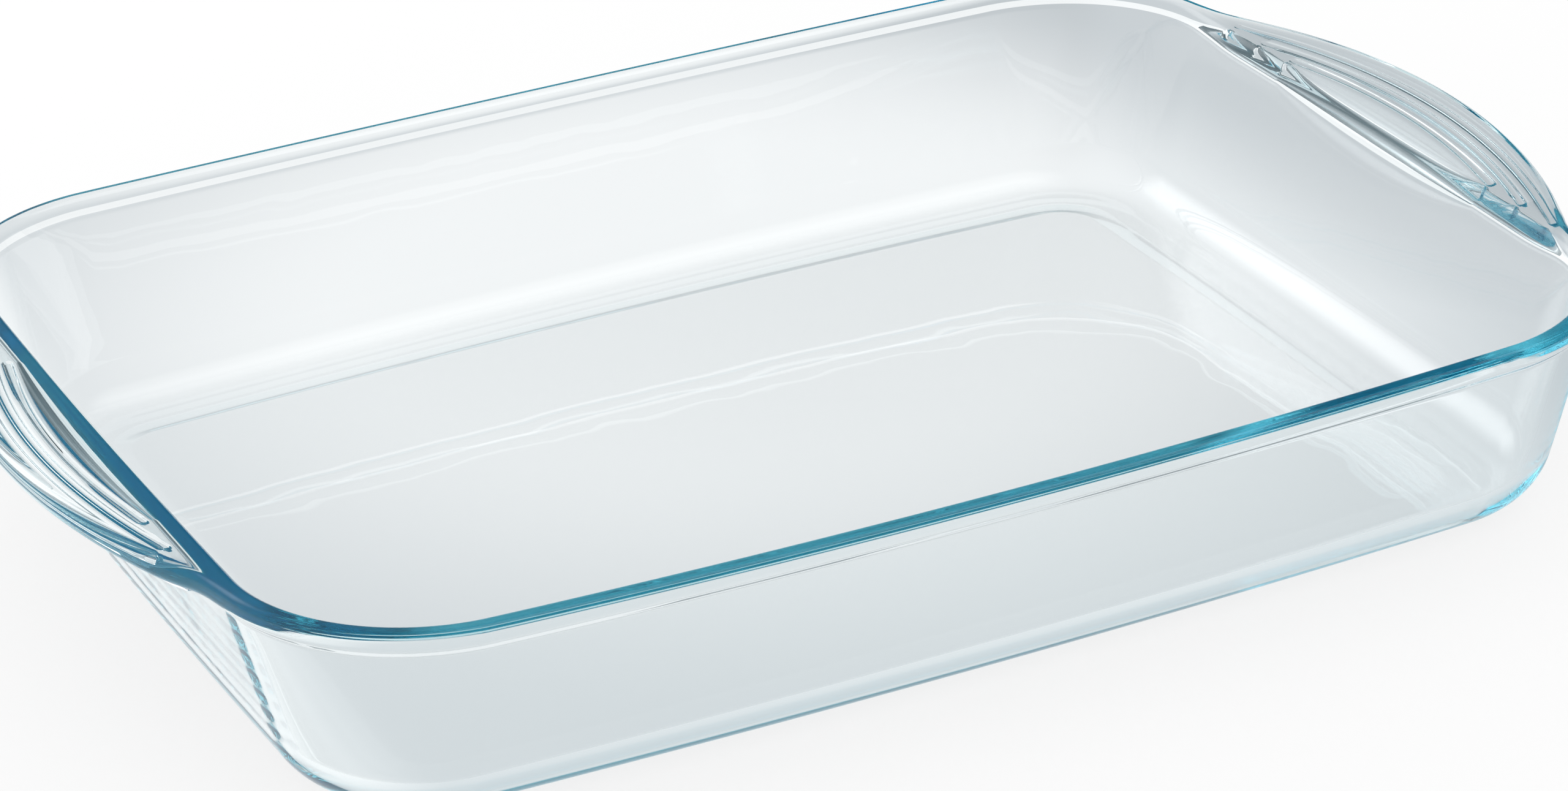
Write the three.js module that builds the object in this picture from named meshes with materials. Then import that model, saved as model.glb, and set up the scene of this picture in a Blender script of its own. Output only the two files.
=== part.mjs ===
// Clear glass roasting dish with a lug handle at each short end.
// The real dish is one pressed piece of glass. Here the glass is held as zones that meet face to face:
// the floor, two long walls, two end walls, four corners and two handles.
// Millimetres, +Z up, origin at the middle of the underside, +X along the dish towards the right handle.
import * as THREE from 'three';

// Driving dimensions of the bowl
const RIM_LENGTH = 360; // over the rim at the middle of the ends, without the handles
const RIM_WIDTH = 274; // over the rim at the middle of the long sides
const SIDE_HEIGHT = 55.8; // top of the rim at the middle of a long side
const END_RISE = 1.6; // how much higher the rim stands at the ends
const CORNER_RADIUS = 50; // plan radius of the rim's corners
const SIDE_BOW = 3; // outward bow of a long side between its corners
const END_BOW = 1; // outward bow of an end between its corners
const FOOT_INSET = 28; // from the rim's outer edge in to the edge of the flat underside
const HEEL_RADIUS = 17; // outer radius between the underside and the wall
const GLASS_THICKNESS = 5.5; // floor and heel
const FOOT_WIDTH = 8; // width of the flat ring that the dish stands on
const BASE_RECESS = 0.8; // how far the underside is raised inside that ring

// Driving dimensions of the rim
const RIM_THICKNESS = 6; // across the rim, bead included
const RIM_BEAD = 1.5; // how far the bead stands out from the wall
const RIM_DEPTH = 6.4; // from the top of the rim down to the bead's lower edge
const RIM_ROUND = 2.4; // radius of the rim's two upper edges

// Driving dimensions of a handle
const HANDLE_REACH = 20; // how far it stands out from the rim
const HANDLE_LENGTH = 188; // along the rim, between the ends of its blends
const HANDLE_BLEND = 40; // hollow radius where its outline runs into the rim
const HANDLE_LIFT = 2.6; // how much its outer edge stands above its root
const HANDLE_THICKNESS = 6; // at the outer edge
const HANDLE_TIP = 0.6; // reach at which its two thin ends are squared off

// Driving dimensions of the grip ribs under a handle
const RIB_WIDTH = 2.4;
const RIB_HEIGHT = 1.1;
const RIB_PITCH = 4.6; // between neighbouring ribs at the middle of the handle
const RIB_EDGE_MARGIN = 4.9; // from the handle's outer edge to the outermost rib
const RIB_ROOT_MARGIN = 5.5; // least distance from the rim to the innermost rib
const RIB_END_MARGIN = 19; // from the handle's end to the outermost rib's end, along the rim
const RIB_STEP = 14; // how much sooner each rib ends than the next one out
const RIB_END_REACH = 1.5; // distance of every rib's ends from the rim
const RIB_RUNOUT = 2.5; // length over which a rib's end fades out
const RIB_EDGE_GAP = 0.3; // least flat strip between a rib and the handle's round edge

// Facet sizes
const END_FACET = 6; // longest facet along an end or a handle
const CORNER_FACET = 10;
const SIDE_FACET = 24;
const LEAST_FACET = 1;
const HEEL_STEPS = 4;
const ROUND_STEPS = 2;
const EDGE_STEPS = 4;
const EDGE_SHARE = 0.4; // most of a handle's reach that its round edge takes up
const ROUND_SHARE = 0.45; // most of the rim's thickness that each upper round takes up

const GLASS_COLOUR = 0xd5e4e8;

// Plan of the rim: one quarter made of half an end arc, a corner arc and half a side arc
const arcRadius = (halfChord, bow) => (halfChord * halfChord + bow * bow) / (2 * bow);

function planQuarter() {
  const halfLength = RIM_LENGTH / 2;
  const halfWidth = RIM_WIDTH / 2;
  const sideRadius = arcRadius(halfLength - CORNER_RADIUS, SIDE_BOW);
  const endRadius = arcRadius(halfWidth - CORNER_RADIUS, END_BOW);
  const sideCentre = new THREE.Vector2(0, halfWidth - sideRadius);
  const endCentre = new THREE.Vector2(halfLength - endRadius, 0);
  // The corner arc touches both big arcs from inside, so its centre is on two circles
  const fromSide = sideRadius - CORNER_RADIUS;
  const fromEnd = endRadius - CORNER_RADIUS;
  const between = endCentre.clone().sub(sideCentre);
  const gap = between.length();
  const along = (gap * gap + fromSide * fromSide - fromEnd * fromEnd) / (2 * gap);
  const across = Math.sqrt(fromSide * fromSide - along * along);
  const unit = between.divideScalar(gap);
  const cornerCentre = new THREE.Vector2(
    sideCentre.x + unit.x * along + unit.y * across,
    sideCentre.y + unit.y * along - unit.x * across,
  );
  const endAngle = cornerCentre.clone().sub(endCentre).angle();
  const sideAngle = cornerCentre.clone().sub(sideCentre).angle();
  return [
    { centre: endCentre, radius: endRadius, from: 0, to: endAngle },
    { centre: cornerCentre, radius: CORNER_RADIUS, from: endAngle, to: sideAngle },
    { centre: sideCentre, radius: sideRadius, from: sideAngle, to: Math.PI / 2 },
  ];
}

const quarter = planQuarter();
const arcLengths = quarter.map((arc) => arc.radius * (arc.to - arc.from));
const END_LENGTH = arcLengths[0];
const CORNER_END = END_LENGTH + arcLengths[1];
const QUARTER_LENGTH = CORNER_END + arcLengths[2];

// Point and outward normal of the rim's outer edge at a distance along the quarter from the end's middle
function stationAt(distance, signX, signY) {
  let start = 0;
  let index = 0;
  while (index < quarter.length - 1 && distance > start + arcLengths[index]) {
    start += arcLengths[index];
    index += 1;
  }
  const arc = quarter[index];
  const angle = arc.from + (distance - start) / arc.radius;
  const nx = Math.cos(angle);
  const ny = Math.sin(angle);
  const x = arc.centre.x + arc.radius * nx;
  const y = arc.centre.y + arc.radius * ny;
  const rise = END_RISE * (x / (RIM_LENGTH / 2)) ** 2;
  return { distance, x: signX * x, y: signY * y, nx: signX * nx, ny: signY * ny, rise };
}

// Outline of a handle over the rim: a round edge, with a hollow arc at each end that touches the rim
const handleHalf = HANDLE_LENGTH / 2;
const edgeRadius = (handleHalf * handleHalf / HANDLE_REACH + HANDLE_REACH) / 2 - HANDLE_BLEND;
const edgeHalf = handleHalf * edgeRadius / (edgeRadius + HANDLE_BLEND);
const arcDrop = (radius, offset) => radius - Math.sqrt(radius * radius - offset * offset);

function handleReach(distance) {
  if (distance <= edgeHalf) return HANDLE_REACH - arcDrop(edgeRadius, distance);
  return arcDrop(HANDLE_BLEND, handleHalf - distance);
}

const handleEnd = handleHalf - Math.sqrt(2 * HANDLE_BLEND * HANDLE_TIP - HANDLE_TIP * HANDLE_TIP);

// Grip ribs, inner to outer, as many as there is room for: arcs that end the same distance from the rim
const ribRoom = HANDLE_REACH - RIB_EDGE_MARGIN - RIB_ROOT_MARGIN;
const ribCount = Math.max(0, Math.floor(ribRoom / RIB_PITCH) + 1);
const ribs = Array.from({ length: ribCount }, (_, index) => {
  const fromOutside = ribCount - 1 - index;
  const half = handleHalf - RIB_END_MARGIN - fromOutside * RIB_STEP;
  const reach = HANDLE_REACH - RIB_EDGE_MARGIN - fromOutside * RIB_PITCH;
  return { half, reach, radius: arcRadius(half, reach - RIB_END_REACH) };
});

// Distances along the quarter at which cross-sections stand
function facetLimit(distance) {
  if (distance < END_LENGTH) return END_FACET;
  return distance < CORNER_END ? CORNER_FACET : SIDE_FACET;
}

function markList() {
  const fixed = [0, END_LENGTH, CORNER_END, QUARTER_LENGTH];
  const wanted = [handleEnd, ...ribs.flatMap((rib) => [rib.half, rib.half + RIB_RUNOUT])];
  const keys = [...fixed];
  for (const mark of wanted) {
    if (keys.every((key) => Math.abs(key - mark) > LEAST_FACET)) keys.push(mark);
  }
  keys.sort((a, b) => a - b);
  const marks = [];
  for (let i = 0; i < keys.length - 1; i += 1) {
    const length = keys[i + 1] - keys[i];
    const steps = Math.ceil(length / facetLimit((keys[i] + keys[i + 1]) / 2));
    for (let k = 0; k < steps; k += 1) marks.push(keys[i] + length * k / steps);
  }
  marks.push(QUARTER_LENGTH);
  return marks;
}

const marks = markList();
const endMarks = marks.filter((mark) => mark <= END_LENGTH);
const cornerMarks = marks.filter((mark) => mark >= END_LENGTH && mark <= CORNER_END);
const sideMarks = marks.filter((mark) => mark >= CORNER_END);
const handleMarks = marks.filter((mark) => mark <= handleEnd + LEAST_FACET);

// Cross-section of the wall, as inset from the rim's outer edge and height:
// from the underside out over the bead and the rim and down the inside to the floor
function leanOf(radius, inset, height) {
  const across = FOOT_INSET - inset;
  const up = height - HEEL_RADIUS;
  return Math.acos(radius / Math.hypot(across, up)) - Math.atan2(up, across);
}

function heelArc(radius, lean) {
  const sweep = Math.PI / 2 - lean;
  return Array.from({ length: HEEL_STEPS + 1 }, (_, i) => {
    const turn = sweep * i / HEEL_STEPS;
    return [FOOT_INSET - radius * Math.sin(turn), HEEL_RADIUS - radius * Math.cos(turn)];
  });
}

const rimRound = Math.min(RIM_ROUND, RIM_THICKNESS * ROUND_SHARE);

function roundArc(centreInset, from, to) {
  return Array.from({ length: ROUND_STEPS + 1 }, (_, i) => {
    const turn = from + (to - from) * i / ROUND_STEPS;
    return [centreInset - rimRound * Math.cos(turn), SIDE_HEIGHT - rimRound + rimRound * Math.sin(turn)];
  });
}

const beadFoot = [RIM_BEAD, SIDE_HEIGHT - RIM_DEPTH];
const beadEdge = [0, SIDE_HEIGHT - RIM_DEPTH + RIM_BEAD];
const outerRound = roundArc(rimRound, 0, Math.PI / 2);
const innerRound = roundArc(RIM_THICKNESS - rimRound, Math.PI / 2, Math.PI);
const innerHeelRadius = HEEL_RADIUS - GLASS_THICKNESS;
const outerHeel = heelArc(HEEL_RADIUS, leanOf(HEEL_RADIUS, ...beadFoot));
const innerHeel = heelArc(innerHeelRadius, leanOf(innerHeelRadius, ...innerRound[ROUND_STEPS]));
const wallProfile = [
  ...outerHeel, beadFoot, beadEdge, ...outerRound, ...innerRound, ...innerHeel.reverse(),
];
// A handle grows from the bead: from its lower edge to the middle of the rim's outer round
const rootProfile = [beadFoot, beadEdge, outerRound[0], outerRound[1]];

// A profile point placed at a station: the rim's rise at the ends fades out down to the heel
function placed(station, inset, height) {
  const share = Math.max(0, (height - HEEL_RADIUS) / (SIDE_HEIGHT - HEEL_RADIUS));
  return new THREE.Vector3(
    station.x - inset * station.nx,
    station.y - inset * station.ny,
    height + station.rise * share,
  );
}

// A ring is a closed row of points, with each one's place on the way round and the place where it closes
function wallRing(station) {
  const points = wallProfile.map(([inset, height]) => placed(station, inset, height));
  return { points, places: [...points.keys(), points.length] };
}

// Cross-section of a handle at a station: its root first, then the round edge and the ribbed underside
function handleRing(station) {
  const root = rootProfile.map(([inset, height]) => placed(station, inset, height));
  const reach = handleReach(station.distance);
  const rootLow = root[0].z;
  const edgeHigh = root[root.length - 1].z + HANDLE_LIFT * reach / HANDLE_REACH;
  const edgeLow = edgeHigh - HANDLE_THICKNESS;
  const edgeInset = Math.min(HANDLE_THICKNESS / 2, reach * EDGE_SHARE);
  const edgeOut = reach - edgeInset;
  const at = (out, z) => new THREE.Vector3(station.x + out * station.nx, station.y + out * station.ny, z);
  const edge = Array.from({ length: EDGE_STEPS + 1 }, (_, i) => {
    const turn = Math.PI / 2 - Math.PI * i / EDGE_STEPS;
    return at(edgeOut + edgeInset * Math.cos(turn), edgeLow + HANDLE_THICKNESS / 2 * (1 + Math.sin(turn)));
  });
  const plain = [...root, ...edge];
  const underPlace = (out) => (edgeOut - out) / (edgeOut + RIM_BEAD);
  const underHeight = (out) => edgeLow + (rootLow - edgeLow) * underPlace(out);
  const ribbed = ribSections(station.distance, edgeOut);
  return {
    points: [...plain, ...ribbed.map(([out, drop]) => at(out, underHeight(out) - drop))],
    places: [...plain.keys(), ...ribbed.map(([out]) => plain.length - 1 + underPlace(out)), plain.length],
  };
}

// The ribs cut by a station, outer to inner: how far out each corner lies and how far below the underside
function ribSections(distance, edgeOut) {
  const half = RIB_WIDTH / 2;
  const sections = [];
  for (const rib of ribs.filter(({ half: ribHalf }) => distance <= ribHalf + RIB_RUNOUT)) {
    const onArc = rib.reach - arcDrop(rib.radius, Math.min(distance, rib.half));
    const centre = Math.min(onArc, edgeOut - RIB_EDGE_GAP - half);
    const drop = distance <= rib.half ? RIB_HEIGHT : 0;
    const corners = [[-half, 0], [-half / 2, drop], [half / 2, drop], [half, 0]];
    sections.push(...corners.map(([offset, depth]) => [centre + offset, depth]));
  }
  return sections.reverse();
}

// Meshes: rings joined into a tube with flat ends
const toFlat = (points) => points.flatMap((point) => [point.x, point.y, point.z]);

function capTriangles(ring) {
  const first = ring[0];
  const outward = ring.reduce((far, point) => {
    const reach = Math.hypot(point.x - first.x, point.y - first.y);
    return reach > far.reach ? { reach, x: point.x - first.x, y: point.y - first.y } : far;
  }, { reach: 0, x: 1, y: 0 });
  const flat = ring.map((point) => new THREE.Vector2(
    ((point.x - first.x) * outward.x + (point.y - first.y) * outward.y) / outward.reach,
    point.z,
  ));
  const turned = THREE.ShapeUtils.isClockWise(flat);
  return { faces: THREE.ShapeUtils.triangulateShape(flat, []), turned };
}

function geometryOf(points, faces) {
  const geometry = new THREE.BufferGeometry();
  geometry.setAttribute('position', new THREE.Float32BufferAttribute(toFlat(points), 3));
  geometry.setIndex(faces.flat());
  geometry.computeVertexNormals();
  return geometry;
}

function signedVolume(points, faces) {
  return faces.reduce((sum, [a, b, c]) => {
    const cross = points[b].clone().cross(points[c]);
    return sum + points[a].dot(cross) / 6;
  }, 0);
}

// Triangles between two rings: each step is taken on the ring that lags behind on the way round
function stitched(here, hereStart, there, thereStart) {
  const hereSize = here.points.length;
  const thereSize = there.points.length;
  const faces = [];
  let i = 0;
  let k = 0;
  while (i < hereSize || k < thereSize) {
    const edge = [hereStart + i % hereSize, thereStart + k % thereSize];
    if (k < thereSize && (i === hereSize || there.places[k + 1] <= here.places[i + 1])) {
      k += 1;
      faces.push([...edge, thereStart + k % thereSize]);
    } else {
      i += 1;
      faces.push([...edge, hereStart + i % hereSize]);
    }
  }
  return faces;
}

function sweptGeometry(rings) {
  const points = rings.flatMap((ring) => ring.points);
  const faces = [];
  let start = 0;
  for (let r = 0; r < rings.length - 1; r += 1) {
    const next = start + rings[r].points.length;
    faces.push(...stitched(rings[r], start, rings[r + 1], next));
    start = next;
  }
  // A side face runs along a ring's edge one way, so the cap that shares the edge runs the other way
  for (const [ring, first, forward] of [[rings[0], 0, true], [rings[rings.length - 1], start, false]]) {
    const { faces: cap, turned } = capTriangles(ring.points);
    for (const [a, b, c] of cap) {
      const keep = forward !== turned;
      faces.push(keep ? [first + a, first + b, first + c] : [first + a, first + c, first + b]);
    }
  }
  const inside = signedVolume(points, faces) < 0;
  return geometryOf(points, inside ? faces.map(([a, b, c]) => [a, c, b]) : faces);
}

// The floor: loops from the raised underside out over the foot ring and up to the floor's top
function floorGeometry(stations) {
  const size = stations.length;
  const footInner = FOOT_INSET + FOOT_WIDTH;
  const loops = [
    [footInner + BASE_RECESS, BASE_RECESS],
    [footInner, 0],
    [FOOT_INSET, 0],
    [FOOT_INSET, GLASS_THICKNESS],
  ].map(([inset, height]) => stations.map((station) => placed(station, inset, height)));
  const faces = [];
  for (let loop = 0; loop < loops.length - 1; loop += 1) {
    for (let i = 0; i < size; i += 1) {
      const next = (i + 1) % size;
      const low = loop * size;
      const high = low + size;
      faces.push([low + i, low + next, high + next], [low + i, high + next, high + i]);
    }
  }
  const plan = (loop) => loop.map(({ x, y }) => new THREE.Vector2(x, y));
  const lid = (loop) => THREE.ShapeUtils.triangulateShape(plan(loop), []);
  const topStart = (loops.length - 1) * size;
  for (const [a, b, c] of lid(loops[0])) faces.push([a, c, b]);
  for (const [a, b, c] of lid(loops[loops.length - 1])) {
    faces.push([topStart + a, topStart + b, topStart + c]);
  }
  return geometryOf(loops.flat(), faces);
}

// Zones of the rim in plan, each a run of stations anticlockwise seen from above
const run = (list, signX, signY) => list.map((mark) => stationAt(mark, signX, signY));
const backwards = (list) => [...list].reverse();
const endRun = (list, side) => [...run(backwards(list), side, -side), ...run(list.slice(1), side, side)];
const sideRun = (list, side) => [...run(list, side, side), ...run(backwards(list).slice(1), -side, side)];
const zones = {
  right_end_wall: endRun(endMarks, 1),
  back_right_corner: run(cornerMarks, 1, 1),
  back_wall: sideRun(sideMarks, 1),
  back_left_corner: run(backwards(cornerMarks), -1, 1),
  left_end_wall: endRun(endMarks, -1),
  front_left_corner: run(cornerMarks, -1, -1),
  front_wall: sideRun(sideMarks, -1),
  front_right_corner: run(backwards(cornerMarks), 1, -1),
};

const dish = new THREE.Group();

function addGlass(name, geometry) {
  const material = new THREE.MeshStandardMaterial({
    color: GLASS_COLOUR,
    roughness: 0.05,
    metalness: 0,
    transparent: true,
    opacity: 0.4,
  });
  const mesh = new THREE.Mesh(geometry, material);
  mesh.name = name;
  dish.add(mesh);
}

addGlass('floor_panel', floorGeometry(Object.values(zones).flatMap((stations) => stations.slice(0, -1))));
for (const [name, stations] of Object.entries(zones)) {
  addGlass(name, sweptGeometry(stations.map(wallRing)));
}
addGlass('right_handle', sweptGeometry(endRun(handleMarks, 1).map(handleRing)));
addGlass('left_handle', sweptGeometry(endRun(handleMarks, -1).map(handleRing)));

export default dish;
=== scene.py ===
"""Clear glass roasting dish with two lug handles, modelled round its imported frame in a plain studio."""

import math

import bmesh
import bpy
import numpy as np
from mathutils import Matrix, Vector


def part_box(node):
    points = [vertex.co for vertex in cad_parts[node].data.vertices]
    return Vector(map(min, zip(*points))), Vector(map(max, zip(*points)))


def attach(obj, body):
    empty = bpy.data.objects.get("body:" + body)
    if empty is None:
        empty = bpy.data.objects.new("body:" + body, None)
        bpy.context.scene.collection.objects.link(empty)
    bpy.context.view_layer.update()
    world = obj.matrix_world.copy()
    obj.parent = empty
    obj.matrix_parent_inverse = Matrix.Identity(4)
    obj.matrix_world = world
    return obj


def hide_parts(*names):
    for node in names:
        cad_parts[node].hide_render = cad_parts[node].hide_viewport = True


bl_info = {
    "name": "Glass roasting dish",
    "version": (1, 0, 0),
    "blender": (4, 5, 0),
    "location": "3D View > Sidebar > Dish",
    "description": "Models a pressed glass roasting dish and its studio",
    "category": "Object",
}

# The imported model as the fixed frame, and the sizes that are read from it
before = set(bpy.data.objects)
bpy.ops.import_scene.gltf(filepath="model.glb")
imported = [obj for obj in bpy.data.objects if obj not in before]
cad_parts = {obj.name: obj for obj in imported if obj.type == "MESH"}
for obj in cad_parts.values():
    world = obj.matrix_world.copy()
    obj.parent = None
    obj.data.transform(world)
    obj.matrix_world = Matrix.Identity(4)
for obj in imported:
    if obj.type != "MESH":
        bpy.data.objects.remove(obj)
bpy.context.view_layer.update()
MM = 0.001
RIM_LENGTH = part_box("right_end_wall")[1].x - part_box("left_end_wall")[0].x
RIM_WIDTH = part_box("back_wall")[1].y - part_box("front_wall")[0].y
HANDLE_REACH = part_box("right_handle")[1].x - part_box("right_end_wall")[1].x
FLOOR_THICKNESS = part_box("floor_panel")[1].z
FOOT_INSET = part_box("right_end_wall")[1].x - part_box("floor_panel")[1].x

# The camera of the photograph: angles in degrees, lens and sensor in millimetres
CAMERA_AZIMUTH = -25.606
CAMERA_ELEVATION = 26.288
CAMERA_ROLL = -2.258
CAMERA_DISTANCE = 1291.27 * MM
CAMERA_ASIDE = 1.978 * MM
CAMERA_RAISE = 19.091 * MM
CAMERA_LENS = 117.953
CAMERA_SENSOR = 36.0

# Spacing of the points round the rim, finer near the ends of the handles and ribs
END_STEP = 3 * MM
CORNER_STEP = 2 * MM
SIDE_STEP = 8 * MM
HANDLE_END_STEP = 1.5 * MM
HANDLE_END_SPAN = 34 * MM
RIB_END_STEP = 0.5 * MM
RIB_END_SPAN = 2.5 * MM

# Rows of points across the glass
HEEL_ROWS = 20
WALL_ROWS = 5
RIM_ROWS = 12
HANDLE_TOP_ROWS = 5
RIB_FLANK_ROWS = 5
ROOT_ROWS = 14
UPPER_WALL_ROWS = 4
LOWER_WALL_ROWS = 2
FOOT_FLAT_ROWS = 1
FOOT_ROWS = 6
ROW_GAP = 0.05 * MM
MERGE_DISTANCE = 0.002 * MM

# Rounds: the most of a stretch that one may take, and the least turn of a corner
ROUND_SHARE = 0.48
LEAST_TURN = 1e-4

# Plain stretches of the cross-section: where the flat floor, the upper wall and the recess end
FLOOR_EDGE_SHARE = 0.48
WALL_MIDDLE_SHARE = 0.5
RECESS_FLAT = 5 * MM

# Handle: the reach over which it grows from the bead, and the hollow under it with its radius per width
HANDLE_GROWTH = 8 * MM
HOLLOW_WIDTH = 6.2 * MM
HOLLOW_SHARE = 1.9

# Waves and haze of the glass
RIPPLE_DETAIL = 1.5
RIPPLE_ROUGHNESS = 0.4
HAZE_SCALE = 38.0
HAZE_DETAIL = 4.0
HAZE_ROUGHNESS = 0.012

# Floor, just below the foot ring, and the share of its lit paper that the camera sees with the shadow
FLOOR_SIZE = 12.0
FLOOR_DROP = 0.4 * MM
FLOOR_SHADE = 0.2
PAPER = (0.92, 0.92, 0.92)

# Floor seen in the glass: the painted pool of light, the outer edges of the painted shade and where that
# painted shade deepens
PAINTED_POOL_CENTRE = (32 * MM, 100 * MM, 0)
SHADE_LEFT = -165 * MM
SHADE_RIGHT = 400 * MM
SHADE_FRONT = -142 * MM
SHADE_BACK = 400 * MM
SHADE_FADE = 30 * MM
DEEP_LEFT = 130 * MM
DEEP_RIGHT = 225 * MM

# Lamp, and the directions of the room's two glows and of its bright side
KEY_PLACE = (-0.57, 1.21, 0.68)
KEY_SIZE = (0.9, 0.7)
BACK_GLOW = (-0.369, 0.808, 0.458)
BACK_SPREAD = math.radians(25)
TOP_GLOW = (0.36, -0.02, 0.93)
TOP_SPREAD = math.radians(26)
LIGHT_SIDE = (-0.8, 0.55, 0.1)
DIM_EDGE = 0.0
BRIGHT_EDGE = 0.7

# Light runs a long way inside the rim and walls before it leaves the glass
LIGHT_BOUNCES = 160

# Colour sockets of a Mix node, which come after its sockets for numbers and vectors
MIX_FIRST = 6
MIX_SECOND = 7
MIX_RESULT = 2


def length_property(name, text, value):
    return bpy.props.FloatProperty(
        name=name, description=text, default=value, unit="LENGTH", precision=5,
    )


def number_property(name, text, value, least=0.0):
    return bpy.props.FloatProperty(name=name, description=text, default=value, min=least)


def colour_property(name, text, value):
    return bpy.props.FloatVectorProperty(name=name, description=text, default=value, subtype="COLOR")


class DishSizes(bpy.types.PropertyGroup):
    """Sizes of the glass."""

    rim_length: length_property("Rim length", "Over the rim at the middle of the ends", RIM_LENGTH)
    rim_width: length_property("Rim width", "Over the rim at the middle of the long sides", RIM_WIDTH)
    side_height: length_property("Side height", "Top of the rim at the middle of a side", 55.8 * MM)
    end_rise: length_property("End rise", "How much higher the rim stands at the ends", 1.6 * MM)
    corner_radius: length_property("Corner radius", "Plan radius of the rim's corners", 50 * MM)
    side_bow: length_property("Side bow", "Outward bow of a long side", 3 * MM)
    end_bow: length_property("End bow", "Outward bow of an end", 1 * MM)
    foot_inset: length_property("Foot inset", "From the rim in to the flat underside", FOOT_INSET)
    heel_radius: length_property("Heel radius", "Outer radius between underside and wall", 17 * MM)
    thickness: length_property("Floor thickness", "Glass of the floor", FLOOR_THICKNESS)
    wall_thickness: length_property("Wall thickness", "Glass of the walls and the heel", 4.8 * MM)
    foot_width: length_property("Foot width", "Ring that the dish stands on", 8 * MM)
    base_recess: length_property("Base recess", "Rise of the underside inside the ring", 0.45 * MM)
    recess_slope: length_property("Recess slope", "Width of the slope inside the ring", 6 * MM)
    foot_round: length_property("Foot round", "Radius of the ring's inner edges", 18 * MM)
    rim_thickness: length_property("Rim thickness", "Across the rim, bead included", 6 * MM)
    rim_bead: length_property("Rim bead", "How far the bead stands out from the wall", 2.3 * MM)
    rim_depth: length_property("Rim depth", "From the rim's top to the bead's lower edge", 6.4 * MM)
    rim_round: length_property("Rim round", "Radius of the rim's edges", 2.8 * MM)
    root_round: length_property("Root round", "Hollow radius under the bead and handle", 1.8 * MM)
    handle_reach: length_property("Handle reach", "How far a handle stands out", HANDLE_REACH)
    handle_length: length_property("Handle length", "Along the rim", 188 * MM)
    handle_blend: length_property("Handle blend", "Hollow radius where it runs into the rim", 40 * MM)
    handle_lift: length_property("Handle lift", "Rise of the handle's edge over the rim", 2.2 * MM)
    handle_thickness: length_property("Handle thickness", "At the outer edge", 6 * MM)
    rib_width: length_property("Rib width", "Across a grip rib", 2.6 * MM)
    rib_height: length_property("Rib height", "Of a grip rib below the handle", 0.6 * MM)
    rib_flank: length_property("Rib flank", "Width of a rib's sloping side", 0.5 * MM)
    rib_pitch: length_property("Rib pitch", "Between neighbouring ribs", 4.6 * MM)
    rib_edge_margin: length_property("Rib edge margin", "Handle's edge to outermost rib", 4.9 * MM)
    rib_end_margin: length_property("Rib end margin", "Handle's end to outermost rib's end", 19 * MM)
    rib_step: length_property("Rib step", "How much sooner each inner rib ends", 14 * MM)
    rib_end_reach: length_property("Rib end reach", "From the rim to every rib's ends", 1.5 * MM)
    rib_count: bpy.props.IntProperty(
        name="Ribs", description="Grip ribs under a handle", default=3, min=1,
    )


class GlassLook(bpy.types.PropertyGroup):
    """Finish of the glass."""

    tint: colour_property("Tint", "Colour of the glass in depth", (0.10, 0.765, 0.86))
    tint_density: number_property("Tint density", "Strength of the tint per metre", 7.0)
    refraction: number_property("Refraction", "Index of refraction", 1.49, least=1.0)
    ripple_size: length_property("Ripple size", "Width of the waves left by pressing", 26 * MM)
    ripple_height: length_property("Ripple height", "Height of those waves", 0.06 * MM)


class StudioLook(bpy.types.PropertyGroup):
    """Floor, light and background."""

    backdrop: colour_property("Backdrop", "Floor and room behind the dish", (1.0, 1.0, 1.0))
    # Painted light and shade: floor colours seen in the glass, a painted pool of light under the dish,
    # painted shade round it and deeper painted shade on the right
    painted_pool_light: colour_property(
        "Floor under the dish", "Floor in the pool of light, seen in the glass", (0.99, 0.995, 1.0),
    )
    painted_shade_round_pool: colour_property(
        "Floor beside the dish", "Floor outside the pool, seen in the glass", (0.74, 0.765, 0.785),
    )
    painted_deep_shade: colour_property(
        "Floor on the right", "Floor far from the light, seen in the glass", (0.60, 0.63, 0.655),
    )
    # Size of the painted pool of light on the floor
    painted_pool_inner: length_property("Pool of light", "Radius of the bright floor", 95 * MM)
    painted_pool_radius: length_property("Pool radius", "Where the light on the floor has faded", 240 * MM)
    room_bright: colour_property(
        "Bright side", "Room at the back left, seen in the glass", (0.72, 0.75, 0.78),
    )
    room_dim: colour_property(
        "Dim side", "Rest of the room, seen in the glass", (0.06, 0.10, 0.12),
    )
    back_glow: number_property(
        "Back glow", "Brightness of the far light, seen in the glass", 2.6, least=1.0,
    )
    top_glow: number_property(
        "Top glow", "Brightness of the upper light, seen in the glass", 1.2, least=1.0,
    )
    key_power: bpy.props.FloatProperty(
        name="Key light", description="Power of the large soft lamp", default=3.5, min=0.0,
        subtype="POWER",
    )


class Wire:
    """An output socket of a node tree. Sums with wires add the Math nodes that work them out."""

    def __init__(self, tree, socket=None):
        self.tree = tree
        self.socket = socket

    def node(self, kind, settings=None, sockets=None, output=0):
        made = self.tree.nodes.new(kind)
        for name, value in (settings or {}).items():
            setattr(made, name, value)
        for name, value in (sockets or {}).items():
            if isinstance(value, Wire):
                self.tree.links.new(value.socket, made.inputs[name])
            else:
                made.inputs[name].default_value = value
        return Wire(self.tree, made.outputs[output] if made.outputs else None)

    def maths(self, operation, first, second):
        return self.node("ShaderNodeMath", {"operation": operation}, {0: first, 1: second})

    def __add__(self, other):
        return self.maths("ADD", self, other)

    __radd__ = __add__

    def __mul__(self, other):
        return self.maths("MULTIPLY", self, other)

    __rmul__ = __mul__

    def either(self, other):
        return self.maths("MAXIMUM", self, other)


def opaque(colour):
    return (*colour, 1.0)


def stepped(value, low, high):
    """0 at low, 1 at high and smooth between them."""
    return value.node("ShaderNodeMapRange", {"interpolation_type": "SMOOTHSTEP"}, {
        "Value": value, "From Min": low, "From Max": high,
    })


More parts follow.
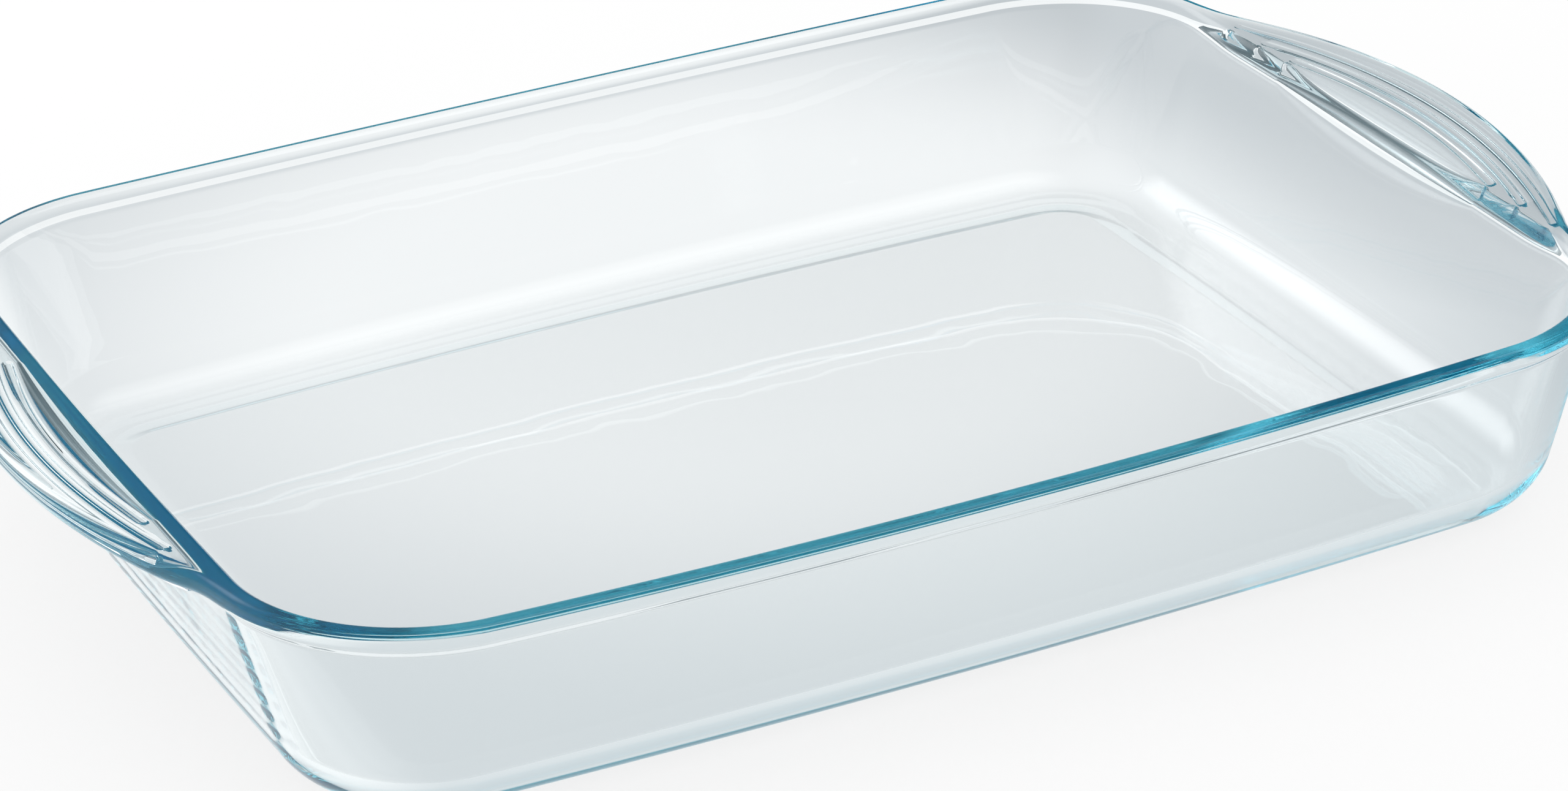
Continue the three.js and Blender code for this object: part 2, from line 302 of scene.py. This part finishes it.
def mixed(share, first, second):
    """Colour that goes from the first to the second as the share goes from 0 to 1."""
    return share.node("ShaderNodeMix", {"data_type": "RGBA"}, {
        "Factor": share, MIX_FIRST: first, MIX_SECOND: second,
    }, output=MIX_RESULT)


# Plan of the rim: half an end arc, a corner arc and half a side arc
def arc_radius(half_chord, bow):
    return (half_chord ** 2 + bow ** 2) / (2 * bow)


def plan_quarter(sizes):
    """Centre, radius, first and last turn of each arc, from an end's middle to a side's middle."""
    half_length = sizes.rim_length / 2
    half_width = sizes.rim_width / 2
    corner = sizes.corner_radius
    side_radius = arc_radius(half_length - corner, sizes.side_bow)
    end_radius = arc_radius(half_width - corner, sizes.end_bow)
    side_centre = Vector((0, half_width - side_radius))
    end_centre = Vector((half_length - end_radius, 0))
    # The corner arc touches both big arcs from inside, so its centre is on two circles
    from_side = side_radius - corner
    from_end = end_radius - corner
    span = end_centre - side_centre
    along = (span.length_squared + from_side ** 2 - from_end ** 2) / (2 * span.length)
    across = math.sqrt(from_side ** 2 - along ** 2)
    unit = span.normalized()
    centre = side_centre + unit * along + Vector((unit.y, -unit.x)) * across
    end_turn = math.atan2(centre.y - end_centre.y, centre.x - end_centre.x)
    side_turn = math.atan2(centre.y - side_centre.y, centre.x - side_centre.x)
    return [
        (end_centre, end_radius, 0, end_turn),
        (centre, corner, end_turn, side_turn),
        (side_centre, side_radius, side_turn, math.pi / 2),
    ]


def quarter_marks(sizes, arcs):
    """Distances along a quarter of the rim, from the middle of an end to the middle of a side."""
    lengths = [radius * (stop - start) for _, radius, start, stop in arcs]
    handle_half = sizes.handle_length / 2
    rib_ends = [rib["half"] for rib in grip_ribs(sizes)]
    total = sum(lengths)
    marks = [0.0]
    while marks[-1] < total:
        here = marks[-1]
        step = SIDE_STEP
        if here < lengths[0] + lengths[1]:
            step = CORNER_STEP
        if here < handle_half:
            step = END_STEP
        if abs(here - handle_half) < HANDLE_END_SPAN:
            step = HANDLE_END_STEP
        if any(abs(here - end) < RIB_END_SPAN for end in rib_ends):
            step = RIB_END_STEP
        marks.append(here + step)
    return np.array(marks) * total / marks[-1]


def rim_stations(sizes):
    """Points of the rim's outer edge, their outward normals and distances from an end's middle."""
    arcs = plan_quarter(sizes)
    marks = quarter_marks(sizes, arcs)
    ends = np.cumsum([0] + [radius * (stop - start) for _, radius, start, stop in arcs])
    index = np.clip(np.searchsorted(ends, marks, side="right") - 1, 0, len(arcs) - 1)
    radius = np.array([arc[1] for arc in arcs])[index]
    centre = np.array([arc[0] for arc in arcs])[index]
    turn = np.array([arc[2] for arc in arcs])[index] + (marks - ends[index]) / radius
    normal = np.stack([np.cos(turn), np.sin(turn)], axis=1)
    point = centre + normal * radius[:, None]
    # The other quarters mirror the first, and every second one runs backwards
    whole = []
    for sign_x, sign_y, order in ((1, 1, 1), (-1, 1, -1), (-1, -1, 1), (1, -1, -1)):
        picked = np.arange(len(marks))[::order][:-1]
        sign = np.array([sign_x, sign_y])
        whole.append(np.column_stack([point[picked] * sign, normal[picked] * sign, marks[picked]]))
    whole = np.concatenate(whole)
    return whole[:, 0:2], whole[:, 2:4], whole[:, 4]


# Handle and ribs
def eased(share):
    share = np.clip(share, 0, 1)
    return share ** 2 * (3 - 2 * share)


def arc_drop(radius, offset):
    return radius - np.sqrt(np.maximum(radius ** 2 - offset ** 2, 0))


def handle_reach(sizes, distance):
    """How far the handle stands out of the rim at a distance from the end's middle."""
    half = sizes.handle_length / 2
    edge_radius = (half ** 2 / sizes.handle_reach + sizes.handle_reach) / 2 - sizes.handle_blend
    edge_half = half * edge_radius / (edge_radius + sizes.handle_blend)
    edge = sizes.handle_reach - arc_drop(edge_radius, np.minimum(distance, edge_half))
    blend = arc_drop(sizes.handle_blend, np.clip(half - distance, 0, half - edge_half))
    return np.where(distance <= edge_half, edge, blend)


def grip_ribs(sizes):
    """Half length, reach and radius of each rib, the innermost first."""
    ribs = []
    for from_outside in reversed(range(sizes.rib_count)):
        half = sizes.handle_length / 2 - sizes.rib_end_margin - from_outside * sizes.rib_step
        reach = sizes.handle_reach - sizes.rib_edge_margin - from_outside * sizes.rib_pitch
        radius = arc_radius(half, reach - sizes.rib_end_reach)
        ribs.append({"half": half, "reach": reach, "radius": radius})
    return ribs


def rib_line(rib, distance):
    return rib["reach"] - arc_drop(rib["radius"], np.minimum(distance, rib["half"]))


def root_radius(sizes, distance):
    """Hollow radius under the handle, widest in the middle, where the innermost rib is far out."""
    inner = grip_ribs(sizes)[0]
    spare = rib_line(inner, distance) - inner["reach"] + HOLLOW_WIDTH
    return np.maximum(spare * HOLLOW_SHARE, sizes.root_round)


def rib_depth(sizes, distance, out):
    """How far the ribs stand below the handle's plain underside."""
    depth = np.zeros(np.broadcast(distance, out).shape)
    for rib in grip_ribs(sizes):
        aside = out - rib_line(rib, distance)
        past = np.maximum(distance - rib["half"], 0)
        inside = sizes.rib_width / 2 - np.hypot(aside, past)
        depth = np.maximum(depth, sizes.rib_height * eased(inside / sizes.rib_flank))
    return depth


# Cross-section of the glass at every station: corners with rounds
def rounded(before, corner, after, radius, rows):
    """Points of the round in a corner, for all stations at once."""
    into = corner - before
    away = after - corner
    into_length = np.linalg.norm(into, axis=1)
    away_length = np.linalg.norm(away, axis=1)
    into = into / into_length[:, None]
    away = away / away_length[:, None]
    turn = np.arctan2(into[:, 0] * away[:, 1] - into[:, 1] * away[:, 0], (into * away).sum(axis=1))
    turn = np.where(np.abs(turn) < LEAST_TURN, LEAST_TURN, turn)
    tangent = radius * np.tan(np.abs(turn) / 2)
    tangent = np.minimum(tangent, ROUND_SHARE * np.minimum(into_length, away_length))
    radius = tangent / np.tan(np.abs(turn) / 2)
    start = corner - into * tangent[:, None]
    aside = np.stack([-into[:, 1], into[:, 0]], axis=1) * np.sign(turn)[:, None]
    points = []
    for row in range(rows + 1):
        swept = np.abs(turn) * row / rows
        forward = into * np.sin(swept)[:, None]
        sideways = aside * (1 - np.cos(swept))[:, None]
        points.append(start + radius[:, None] * (forward + sideways))
    return points


def between(start, stop, rows):
    """Points inside a straight stretch, without its ends."""
    return [start + (stop - start) * row / (rows + 1) for row in range(1, rows + 1)]


def wall_lean(sizes, radius, inset, height):
    """Angle from upright of a wall that touches the heel's round and passes this inset and height."""
    across = sizes.foot_inset - inset
    up = height - sizes.heel_radius
    return math.acos(radius / math.hypot(across, up)) - math.atan2(up, across)


def rib_rows(sizes, distance, root_out, edge_out):
    """How far out the underside's rows lie, from its edge in. They follow the ribs and never cross."""
    flank = 1 - 2 * sizes.rib_flank / sizes.rib_width * np.linspace(0, 1, RIB_FLANK_ROWS)
    across_rib = np.concatenate([-flank, [0], flank]) * sizes.rib_width / 2
    wanted = []
    for rib in grip_ribs(sizes):
        line = rib["reach"] - arc_drop(rib["radius"], np.minimum(distance, rib["radius"]))
        wanted += [line + offset for offset in across_rib]
    wanted = np.sort(np.stack(wanted, axis=1), axis=1)
    count = wanted.shape[1]
    apart = ROW_GAP * np.arange(count)
    wanted = np.maximum.accumulate(wanted - apart, axis=1) + apart
    least = (edge_out - root_out)[:, None] / (count + 1) / 2 * np.arange(1, count + 1)
    wanted = np.maximum(wanted, root_out[:, None] + least)
    wanted = np.minimum(wanted, edge_out[:, None] - least[:, ::-1])
    on_handle = distance[:, None] <= sizes.handle_length / 2
    return np.where(on_handle, wanted[:, ::-1], root_out[:, None])


def underside_rows(sizes, distance, path):
    """The ribbed underside of the handle or bead, the hollow below it and the top of the wall."""
    points = np.stack(path, axis=1)
    lengths = np.linalg.norm(np.diff(points, axis=1), axis=2)
    travelled = np.concatenate([np.zeros((len(points), 1)), np.cumsum(lengths, axis=1)], axis=1)
    under = travelled[:, 1, None]
    hollow = travelled[:, -2, None]
    whole = travelled[:, -1, None]
    edge_out = -points[:, 0, 0]
    root_out = -points[:, 1, 0]
    outs = rib_rows(sizes, distance, root_out, edge_out)
    share = (edge_out[:, None] - outs) / np.maximum(edge_out - root_out, MERGE_DISTANCE)[:, None]
    root_marks = under + (hollow - under) * np.linspace(0, 1, ROOT_ROWS)
    wall_marks = hollow + (whole - hollow) * np.linspace(0, 1, UPPER_WALL_ROWS + 1)[1:]
    marks = np.concatenate([under * share, root_marks, wall_marks], axis=1)
    placed = np.stack([
        np.stack([np.interp(marks[i], travelled[i], points[i, :, axis]) for i in range(len(points))])
        for axis in (0, 1)
    ], axis=2)
    inward = points[:, 1] - points[:, 0]
    inward = inward / np.maximum(np.linalg.norm(inward, axis=1), MERGE_DISTANCE)[:, None]
    down = np.stack([inward[:, 1], -inward[:, 0]], axis=1)
    depth = np.where(marks < under, rib_depth(sizes, distance[:, None], -placed[:, :, 0]), 0)
    placed = placed + down[:, None] * depth[:, :, None]
    return [placed[:, row] for row in range(placed.shape[1])]


def glass_rows(sizes, distance):
    """Inset and height of every row of points: floor, inside, rim, handle, outside and underside."""
    count = len(distance)
    reach = handle_reach(sizes, distance)
    height = sizes.side_height
    inner_heel = sizes.heel_radius - sizes.wall_thickness
    rim_foot = height - sizes.rim_round
    inner_lean = math.tan(wall_lean(sizes, inner_heel, sizes.rim_thickness, rim_foot))
    bead_foot = height - sizes.rim_depth
    outer_lean = math.tan(wall_lean(sizes, sizes.heel_radius, sizes.rim_bead, bead_foot))

    def spot(inset, level):
        pair = [np.broadcast_to(inset, count), np.broadcast_to(level, count)]
        return np.stack(pair, axis=1).astype(float)

    def inner_wall(level):
        return sizes.rim_thickness + (rim_foot - level) * inner_lean

    def outer_wall(level):
        return sizes.rim_bead + (bead_foot - level) * outer_lean

    # The bead's edge grows to the handle's thickness as the handle comes out of the rim
    grown = eased(reach / HANDLE_GROWTH)
    edge_top = height + sizes.handle_lift * reach / sizes.handle_reach
    bead_edge = sizes.rim_depth - sizes.rim_bead
    edge_depth = bead_edge + (sizes.handle_thickness - bead_edge) * grown
    edge_round = sizes.rim_round + (sizes.handle_thickness / 2 - sizes.rim_round) * grown

    # Corners of the cross-section
    floor_edge = sizes.foot_inset + FLOOR_EDGE_SHARE * (sizes.corner_radius - sizes.foot_inset)
    floor = spot(floor_edge, sizes.thickness)
    inner_corner = spot(inner_wall(sizes.thickness), sizes.thickness)
    rim_corner = spot(inner_wall(height), height)
    edge_corner = spot(-reach, edge_top)
    under_corner = spot(-reach, edge_top - edge_depth)
    root_corner = spot(outer_wall(bead_foot), bead_foot)
    middle = height * WALL_MIDDLE_SHARE
    wall_middle = spot(outer_wall(middle), middle)
    wall_top = spot(outer_wall(height), height)
    heel_corner = spot(outer_wall(0), 0)
    base_middle = spot(sizes.rim_width / 2, 0)
    foot_inner = sizes.foot_inset + sizes.foot_width - sizes.recess_slope / 2
    recess_edge = foot_inner + sizes.recess_slope
    foot_corner = spot(foot_inner, 0)
    recess_corner = spot(recess_edge, sizes.base_recess)
    recess = spot(recess_edge + RECESS_FLAT, sizes.base_recess)

    # Rounds in those corners, and the rows in their order
    inner_round = rounded(floor, inner_corner, rim_corner, inner_heel, HEEL_ROWS)
    rim_round = rounded(inner_corner, rim_corner, edge_corner, sizes.rim_round, RIM_ROWS)
    upper_round = rounded(rim_corner, edge_corner, under_corner, edge_round, RIM_ROWS)
    lower_round = rounded(edge_corner, under_corner, root_corner, edge_round, RIM_ROWS)
    hollow = root_radius(sizes, distance)
    root_round = rounded(under_corner, root_corner, wall_middle, hollow, 2 * ROOT_ROWS)
    outer_round = rounded(wall_top, heel_corner, base_middle, sizes.heel_radius, HEEL_ROWS)
    foot_round = rounded(heel_corner, foot_corner, recess_corner, sizes.foot_round, FOOT_ROWS)
    recess_round = rounded(foot_corner, recess_corner, recess, sizes.foot_round, FOOT_ROWS)
    rows = [floor, *inner_round]
    rows += between(inner_round[-1], rim_round[0], WALL_ROWS)
    rows += rim_round
    rows += between(rim_round[-1], upper_round[0], HANDLE_TOP_ROWS)
    rows += upper_round
    rows += lower_round
    rows += underside_rows(sizes, distance, [lower_round[-1], *root_round, wall_middle])
    rows += between(wall_middle, outer_round[0], LOWER_WALL_ROWS)
    rows += outer_round
    rows += between(outer_round[-1], foot_round[0], FOOT_FLAT_ROWS)
    rows += foot_round
    rows += recess_round
    rows += [recess]
    return rows


def row_places(sizes, rows, point, normal):
    """Rows put round the rim. The rise towards the ends fades out down to the heel."""
    rise = sizes.end_rise * (point[:, 0] / (sizes.rim_length / 2)) ** 2
    places = []
    for row in rows:
        share = np.maximum(row[:, 1] - sizes.heel_radius, 0) / (sizes.side_height - sizes.heel_radius)
        plan = point - normal * row[:, :1]
        places.append(np.column_stack([plan, row[:, 1] + rise * share]))
    return places


# Modelling by operators
def deselect_all():
    bpy.ops.object.select_all(action="DESELECT")


def place_loop(mesh, places):
    """Puts the selected loop of points on its row."""
    edited = bmesh.from_edit_mesh(mesh)
    station = edited.verts.layers.int["station"]
    for vert in edited.verts:
        if vert.select:
            vert.co = places[vert[station]]
    bmesh.update_edit_mesh(mesh)


def number_loop(mesh, row):
    """Notes the row of the selected loop on its points."""
    edited = bmesh.from_edit_mesh(mesh)
    layer = edited.verts.layers.int["row"]
    for vert in edited.verts:
        if vert.select:
            vert[layer] = row


def select_loop(mesh, row):
    edited = bmesh.from_edit_mesh(mesh)
    layer = edited.verts.layers.int["row"]
    for vert in edited.verts:
        vert.select = vert[layer] == row
    edited.select_flush(True)
    bmesh.update_edit_mesh(mesh)


def model_glass(sizes):
    """A loop of points, extruded row by row over the rim to the underside, with both ends filled."""
    point, normal, distance = rim_stations(sizes)
    places = row_places(sizes, glass_rows(sizes, distance), point, normal)
    deselect_all()
    bpy.ops.mesh.primitive_circle_add(vertices=len(point), radius=sizes.rim_width / 2)
    dish = bpy.context.object
    dish.name = "dish_glass"
    dish.data.name = "dish_glass"
    bpy.ops.object.mode_set(mode="EDIT")
    edited = bmesh.from_edit_mesh(dish.data)
    station = edited.verts.layers.int.new("station")
    edited.verts.layers.int.new("row")
    edited.verts.ensure_lookup_table()
    for index, vert in enumerate(edited.verts):
        vert[station] = index
    bmesh.update_edit_mesh(dish.data)
    place_loop(dish.data, places[0])
    for row, loop in enumerate(places[1:], start=1):
        bpy.ops.mesh.extrude_edges_move()
        number_loop(dish.data, row)
        place_loop(dish.data, loop)
    for row in (0, len(places) - 1):
        select_loop(dish.data, row)
        bpy.ops.mesh.edge_face_add()
    bpy.ops.mesh.select_all(action="SELECT")
    bpy.ops.mesh.remove_doubles(threshold=MERGE_DISTANCE)
    bpy.ops.mesh.normals_make_consistent(inside=False)
    bpy.ops.object.mode_set(mode="OBJECT")
    bpy.ops.object.shade_smooth()
    return dish


def clear_glass(look):
    """Clear pressed glass: blue-green in depth, with the faint waves and haze that the mould leaves."""
    material = bpy.data.materials.new("clear_glass")
    material.use_nodes = True
    tree = material.node_tree
    tree.nodes.clear()
    start = Wire(tree)
    place = start.node("ShaderNodeTexCoord", output="Object")
    waves = start.node("ShaderNodeTexNoise", {}, {
        "Vector": place,
        "Scale": 1 / look.ripple_size,
        "Detail": RIPPLE_DETAIL,
        "Roughness": RIPPLE_ROUGHNESS,
    })
    bump = start.node("ShaderNodeBump", {}, {
        "Height": waves, "Distance": look.ripple_height, "Strength": 1.0,
    })
    haze = start.node("ShaderNodeTexNoise", {}, {
        "Vector": place, "Scale": HAZE_SCALE, "Detail": HAZE_DETAIL,
    })
    glass = start.node("ShaderNodeBsdfPrincipled", {}, {
        "Base Color": (1.0, 1.0, 1.0, 1.0),
        "Roughness": haze * HAZE_ROUGHNESS,
        "IOR": look.refraction,
        "Transmission Weight": 1.0,
        "Normal": bump,
    })
    depth = start.node("ShaderNodeVolumeAbsorption", {}, {
        "Color": opaque(look.tint), "Density": look.tint_density,
    })
    start.node("ShaderNodeOutputMaterial", {}, {"Surface": glass, "Volume": depth})
    return material


class DISH_OT_glass(bpy.types.Operator):
    """Model the dish as one seamless body of glass"""

    bl_idname = "dish.glass"
    bl_label = "Glass body"

    def execute(self, context):
        dish = model_glass(context.scene.dish_sizes)
        dish.data.materials.append(clear_glass(context.scene.glass_look))
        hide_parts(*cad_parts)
        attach(dish, "root")
        return {"FINISHED"}


# Studio
def ray_kind(start, kind):
    return start.node("ShaderNodeLightPath", output=kind)


def seen_in_glass(start):
    """1 for rays that come off the glass or through it."""
    return ray_kind(start, "Is Glossy Ray").either(ray_kind(start, "Is Transmission Ray"))


def facing(start, side):
    """1 where a ray to the room points to this side, 0 square to it."""
    place = start.node("ShaderNodeTexCoord", output="Generated")
    return start.node("ShaderNodeVectorMath", {"operation": "DOT_PRODUCT"}, {
        0: place, 1: Vector(side).normalized(),
    }, output="Value")


def floor_material(look):
    """White paper that keeps the shadow. In the glass it has a painted pool of light with painted shade
    round it.
    """
    material = bpy.data.materials.new("studio_floor")
    material.use_nodes = True
    tree = material.node_tree
    tree.nodes.clear()
    start = Wire(tree)
    in_glass = seen_in_glass(start)
    place = start.node("ShaderNodeTexCoord", output="Object")
    away = start.node("ShaderNodeVectorMath", {"operation": "DISTANCE"}, {
        0: place, 1: PAINTED_POOL_CENTRE,
    }, output="Value")
    across = start.node("ShaderNodeSeparateXYZ", {}, {"Vector": place}, output="X")
    along = start.node("ShaderNodeSeparateXYZ", {}, {"Vector": place}, output="Y")
    # Painted light and shade for the glass: bright in the painted pool, painted shade round it and deeper
    # to the right, bright again beyond the shade's edges
    faded = stepped(away, look.painted_pool_inner, look.painted_pool_radius)
    shaded = stepped(across, SHADE_LEFT, SHADE_LEFT + SHADE_FADE)
    shaded *= stepped(across, SHADE_RIGHT, SHADE_RIGHT - SHADE_FADE)
    shaded *= stepped(along, SHADE_FRONT, SHADE_FRONT + SHADE_FADE)
    shaded *= stepped(along, SHADE_BACK, SHADE_BACK - SHADE_FADE)
    deep = stepped(across, DEEP_LEFT, DEEP_RIGHT)
    shade = mixed(deep, opaque(look.painted_shade_round_pool), opaque(look.painted_deep_shade))
    pool = mixed(faded.either(deep) * shaded, opaque(look.painted_pool_light), shade)
    glow = mixed(in_glass, opaque(look.backdrop), pool)
    paper = start.node("ShaderNodeBsdfDiffuse", {}, {"Color": opaque(PAPER)})
    bright = start.node("ShaderNodeEmission", {}, {"Color": glow, "Strength": 1.0})
    shown = ray_kind(start, "Is Camera Ray") * (1 - FLOOR_SHADE)
    surface = start.node("ShaderNodeMixShader", {}, {0: shown.either(in_glass), 1: paper, 2: bright})
    start.node("ShaderNodeOutputMaterial", {}, {"Surface": surface})
    return material


def studio_world(look):
    """White for the camera. In the glass it is a dim room with a bright back left side and two glows."""
    world = bpy.data.worlds.new("studio")
    world.use_nodes = True
    tree = world.node_tree
    tree.nodes.clear()
    start = Wire(tree)
    in_glass = seen_in_glass(start)
    white = opaque(look.backdrop)
    lit = stepped(facing(start, LIGHT_SIDE), DIM_EDGE, BRIGHT_EDGE)
    room = mixed(lit, opaque(look.room_dim), opaque(look.room_bright))
    back_glow = stepped(facing(start, BACK_GLOW), math.cos(BACK_SPREAD), 1.0)
    top_glow = stepped(facing(start, TOP_GLOW), math.cos(TOP_SPREAD), 1.0)
    lit_room = mixed(back_glow.either(top_glow), room, white)
    added = back_glow * (look.back_glow - 1) + top_glow * (look.top_glow - 1)
    sky = start.node("ShaderNodeBackground", {}, {
        "Color": mixed(in_glass, white, lit_room), "Strength": 1.0 + in_glass * added,
    })
    start.node("ShaderNodeOutputWorld", {}, {"Surface": sky})
    return world


def photo_camera():
    """Camera of the photograph, set by its angles, its distance and its small shifts."""
    azimuth = math.radians(CAMERA_AZIMUTH)
    elevation = math.radians(CAMERA_ELEVATION)
    roll = math.radians(CAMERA_ROLL)
    back = Vector((
        math.sin(azimuth) * math.cos(elevation),
        -math.cos(azimuth) * math.cos(elevation),
        math.sin(elevation),
    ))
    level = Vector((math.cos(azimuth), math.sin(azimuth), 0))
    upright = back.cross(level)
    right = math.cos(roll) * level + math.sin(roll) * upright
    up = back.cross(right)
    bpy.ops.object.camera_add()
    camera = bpy.context.object
    camera.name = "photo_camera"
    turn = Matrix((right, up, back)).transposed().to_4x4()
    place = CAMERA_DISTANCE * back + CAMERA_ASIDE * right + CAMERA_RAISE * up
    camera.matrix_world = Matrix.Translation(place) @ turn
    camera.data.lens = CAMERA_LENS
    camera.data.sensor_width = CAMERA_SENSOR
    camera.data.sensor_fit = "HORIZONTAL"
    return camera


def key_light(power):
    """Large soft lamp, turned to the dish. The lamp itself isn't seen in the glass."""
    bpy.ops.object.light_add(type="AREA", location=KEY_PLACE)
    lamp = bpy.context.object
    lamp.name = "key_light"
    lamp.rotation_euler = (-Vector(KEY_PLACE)).to_track_quat("-Z", "Y").to_euler()
    lamp.data.shape = "RECTANGLE"
    lamp.data.size, lamp.data.size_y = KEY_SIZE
    lamp.data.energy = power
    lamp.visible_glossy = False
    lamp.visible_transmission = False


class DISH_OT_studio(bpy.types.Operator):
    """Set the floor, the light, the background and the camera"""

    bl_idname = "dish.studio"
    bl_label = "Studio"

    def execute(self, context):
        look = context.scene.studio_look
        deselect_all()
        bpy.ops.mesh.primitive_plane_add(size=FLOOR_SIZE, location=(0, 0, -FLOOR_DROP))
        floor = context.object
        floor.name = "studio_floor"
        floor.data.materials.append(floor_material(look))
        context.scene.world = studio_world(look)
        key_light(look.key_power)
        context.scene.camera = photo_camera()
        context.scene.view_settings.view_transform = "Standard"
        paths = context.scene.cycles
        paths.max_bounces = LIGHT_BOUNCES
        paths.transmission_bounces = LIGHT_BOUNCES
        paths.glossy_bounces = LIGHT_BOUNCES
        return {"FINISHED"}


class DISH_PT_panel(bpy.types.Panel):
    """Sizes and looks of the dish, with a button for each step"""

    bl_idname = "DISH_PT_panel"
    bl_label = "Glass dish"
    bl_space_type = "VIEW_3D"
    bl_region_type = "UI"
    bl_category = "Dish"

    def draw(self, context):
        layout = self.layout
        for name, group in GROUPS.items():
            column = layout.column(align=True)
            for size_or_look in group.__annotations__:
                column.prop(getattr(context.scene, name), size_or_look)
        for operator in (DISH_OT_studio, DISH_OT_glass):
            layout.operator(operator.bl_idname)


GROUPS = {"dish_sizes": DishSizes, "glass_look": GlassLook, "studio_look": StudioLook}
CLASSES = (*GROUPS.values(), DISH_OT_glass, DISH_OT_studio, DISH_PT_panel)


def register():
    for item in CLASSES:
        bpy.utils.register_class(item)
    for name, group in GROUPS.items():
        setattr(bpy.types.Scene, name, bpy.props.PointerProperty(type=group))


def unregister():
    for name in GROUPS:
        delattr(bpy.types.Scene, name)
    for item in reversed(CLASSES):
        bpy.utils.unregister_class(item)


def main():
    register()
    bpy.ops.dish.studio()
    bpy.ops.dish.glass()


if __name__ == "__main__":
    main()
